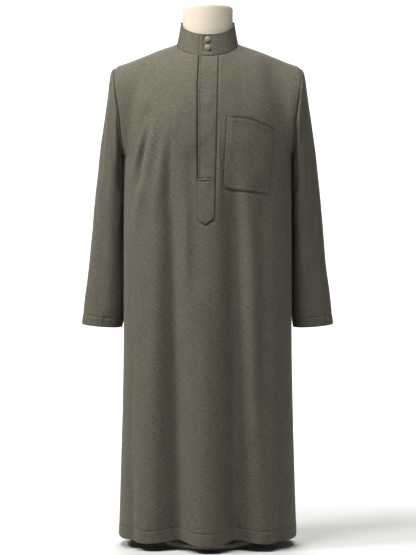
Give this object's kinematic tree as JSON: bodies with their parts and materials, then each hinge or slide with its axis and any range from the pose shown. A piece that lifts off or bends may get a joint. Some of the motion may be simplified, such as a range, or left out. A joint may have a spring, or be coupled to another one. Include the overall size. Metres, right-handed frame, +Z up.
{
  "type": "thobe on a dress form",
  "caption": "Long straight robe with a stand collar, snaps, a front placket, a chest pocket and long sleeves, worn by a limbless dress form on a round base.",
  "frame": {"origin": "middle of the base plate's underside, on the floor", "axes": "+Z up along the pole and the garment's length, front of the garment faces -Y, wearer's left is +X"},
  "size_m": [0.6524, 0.3341, 1.393],
  "materials": {
    "thobe_cloth": "woven, matt, olive grey melange",
    "snap_cap": "satin olive grey cap",
    "form_jersey": "cream jersey, matt",
    "stand_paint": "off-white powder coat"
  },
  "bodies": {
    "root": {"front_panel": "thobe_cloth", "back_panel": "thobe_cloth", "sleeve_left": "thobe_cloth", "sleeve_right": "thobe_cloth", "collar": "thobe_cloth", "placket": "thobe_cloth", "chest_pocket": "thobe_cloth", "collar_snap_upper": "snap_cap", "collar_snap_lower": "snap_cap", "form_torso": "form_jersey", "stand_pole": "stand_paint", "stand_base": "stand_paint"}
  },
  "joints": []
}
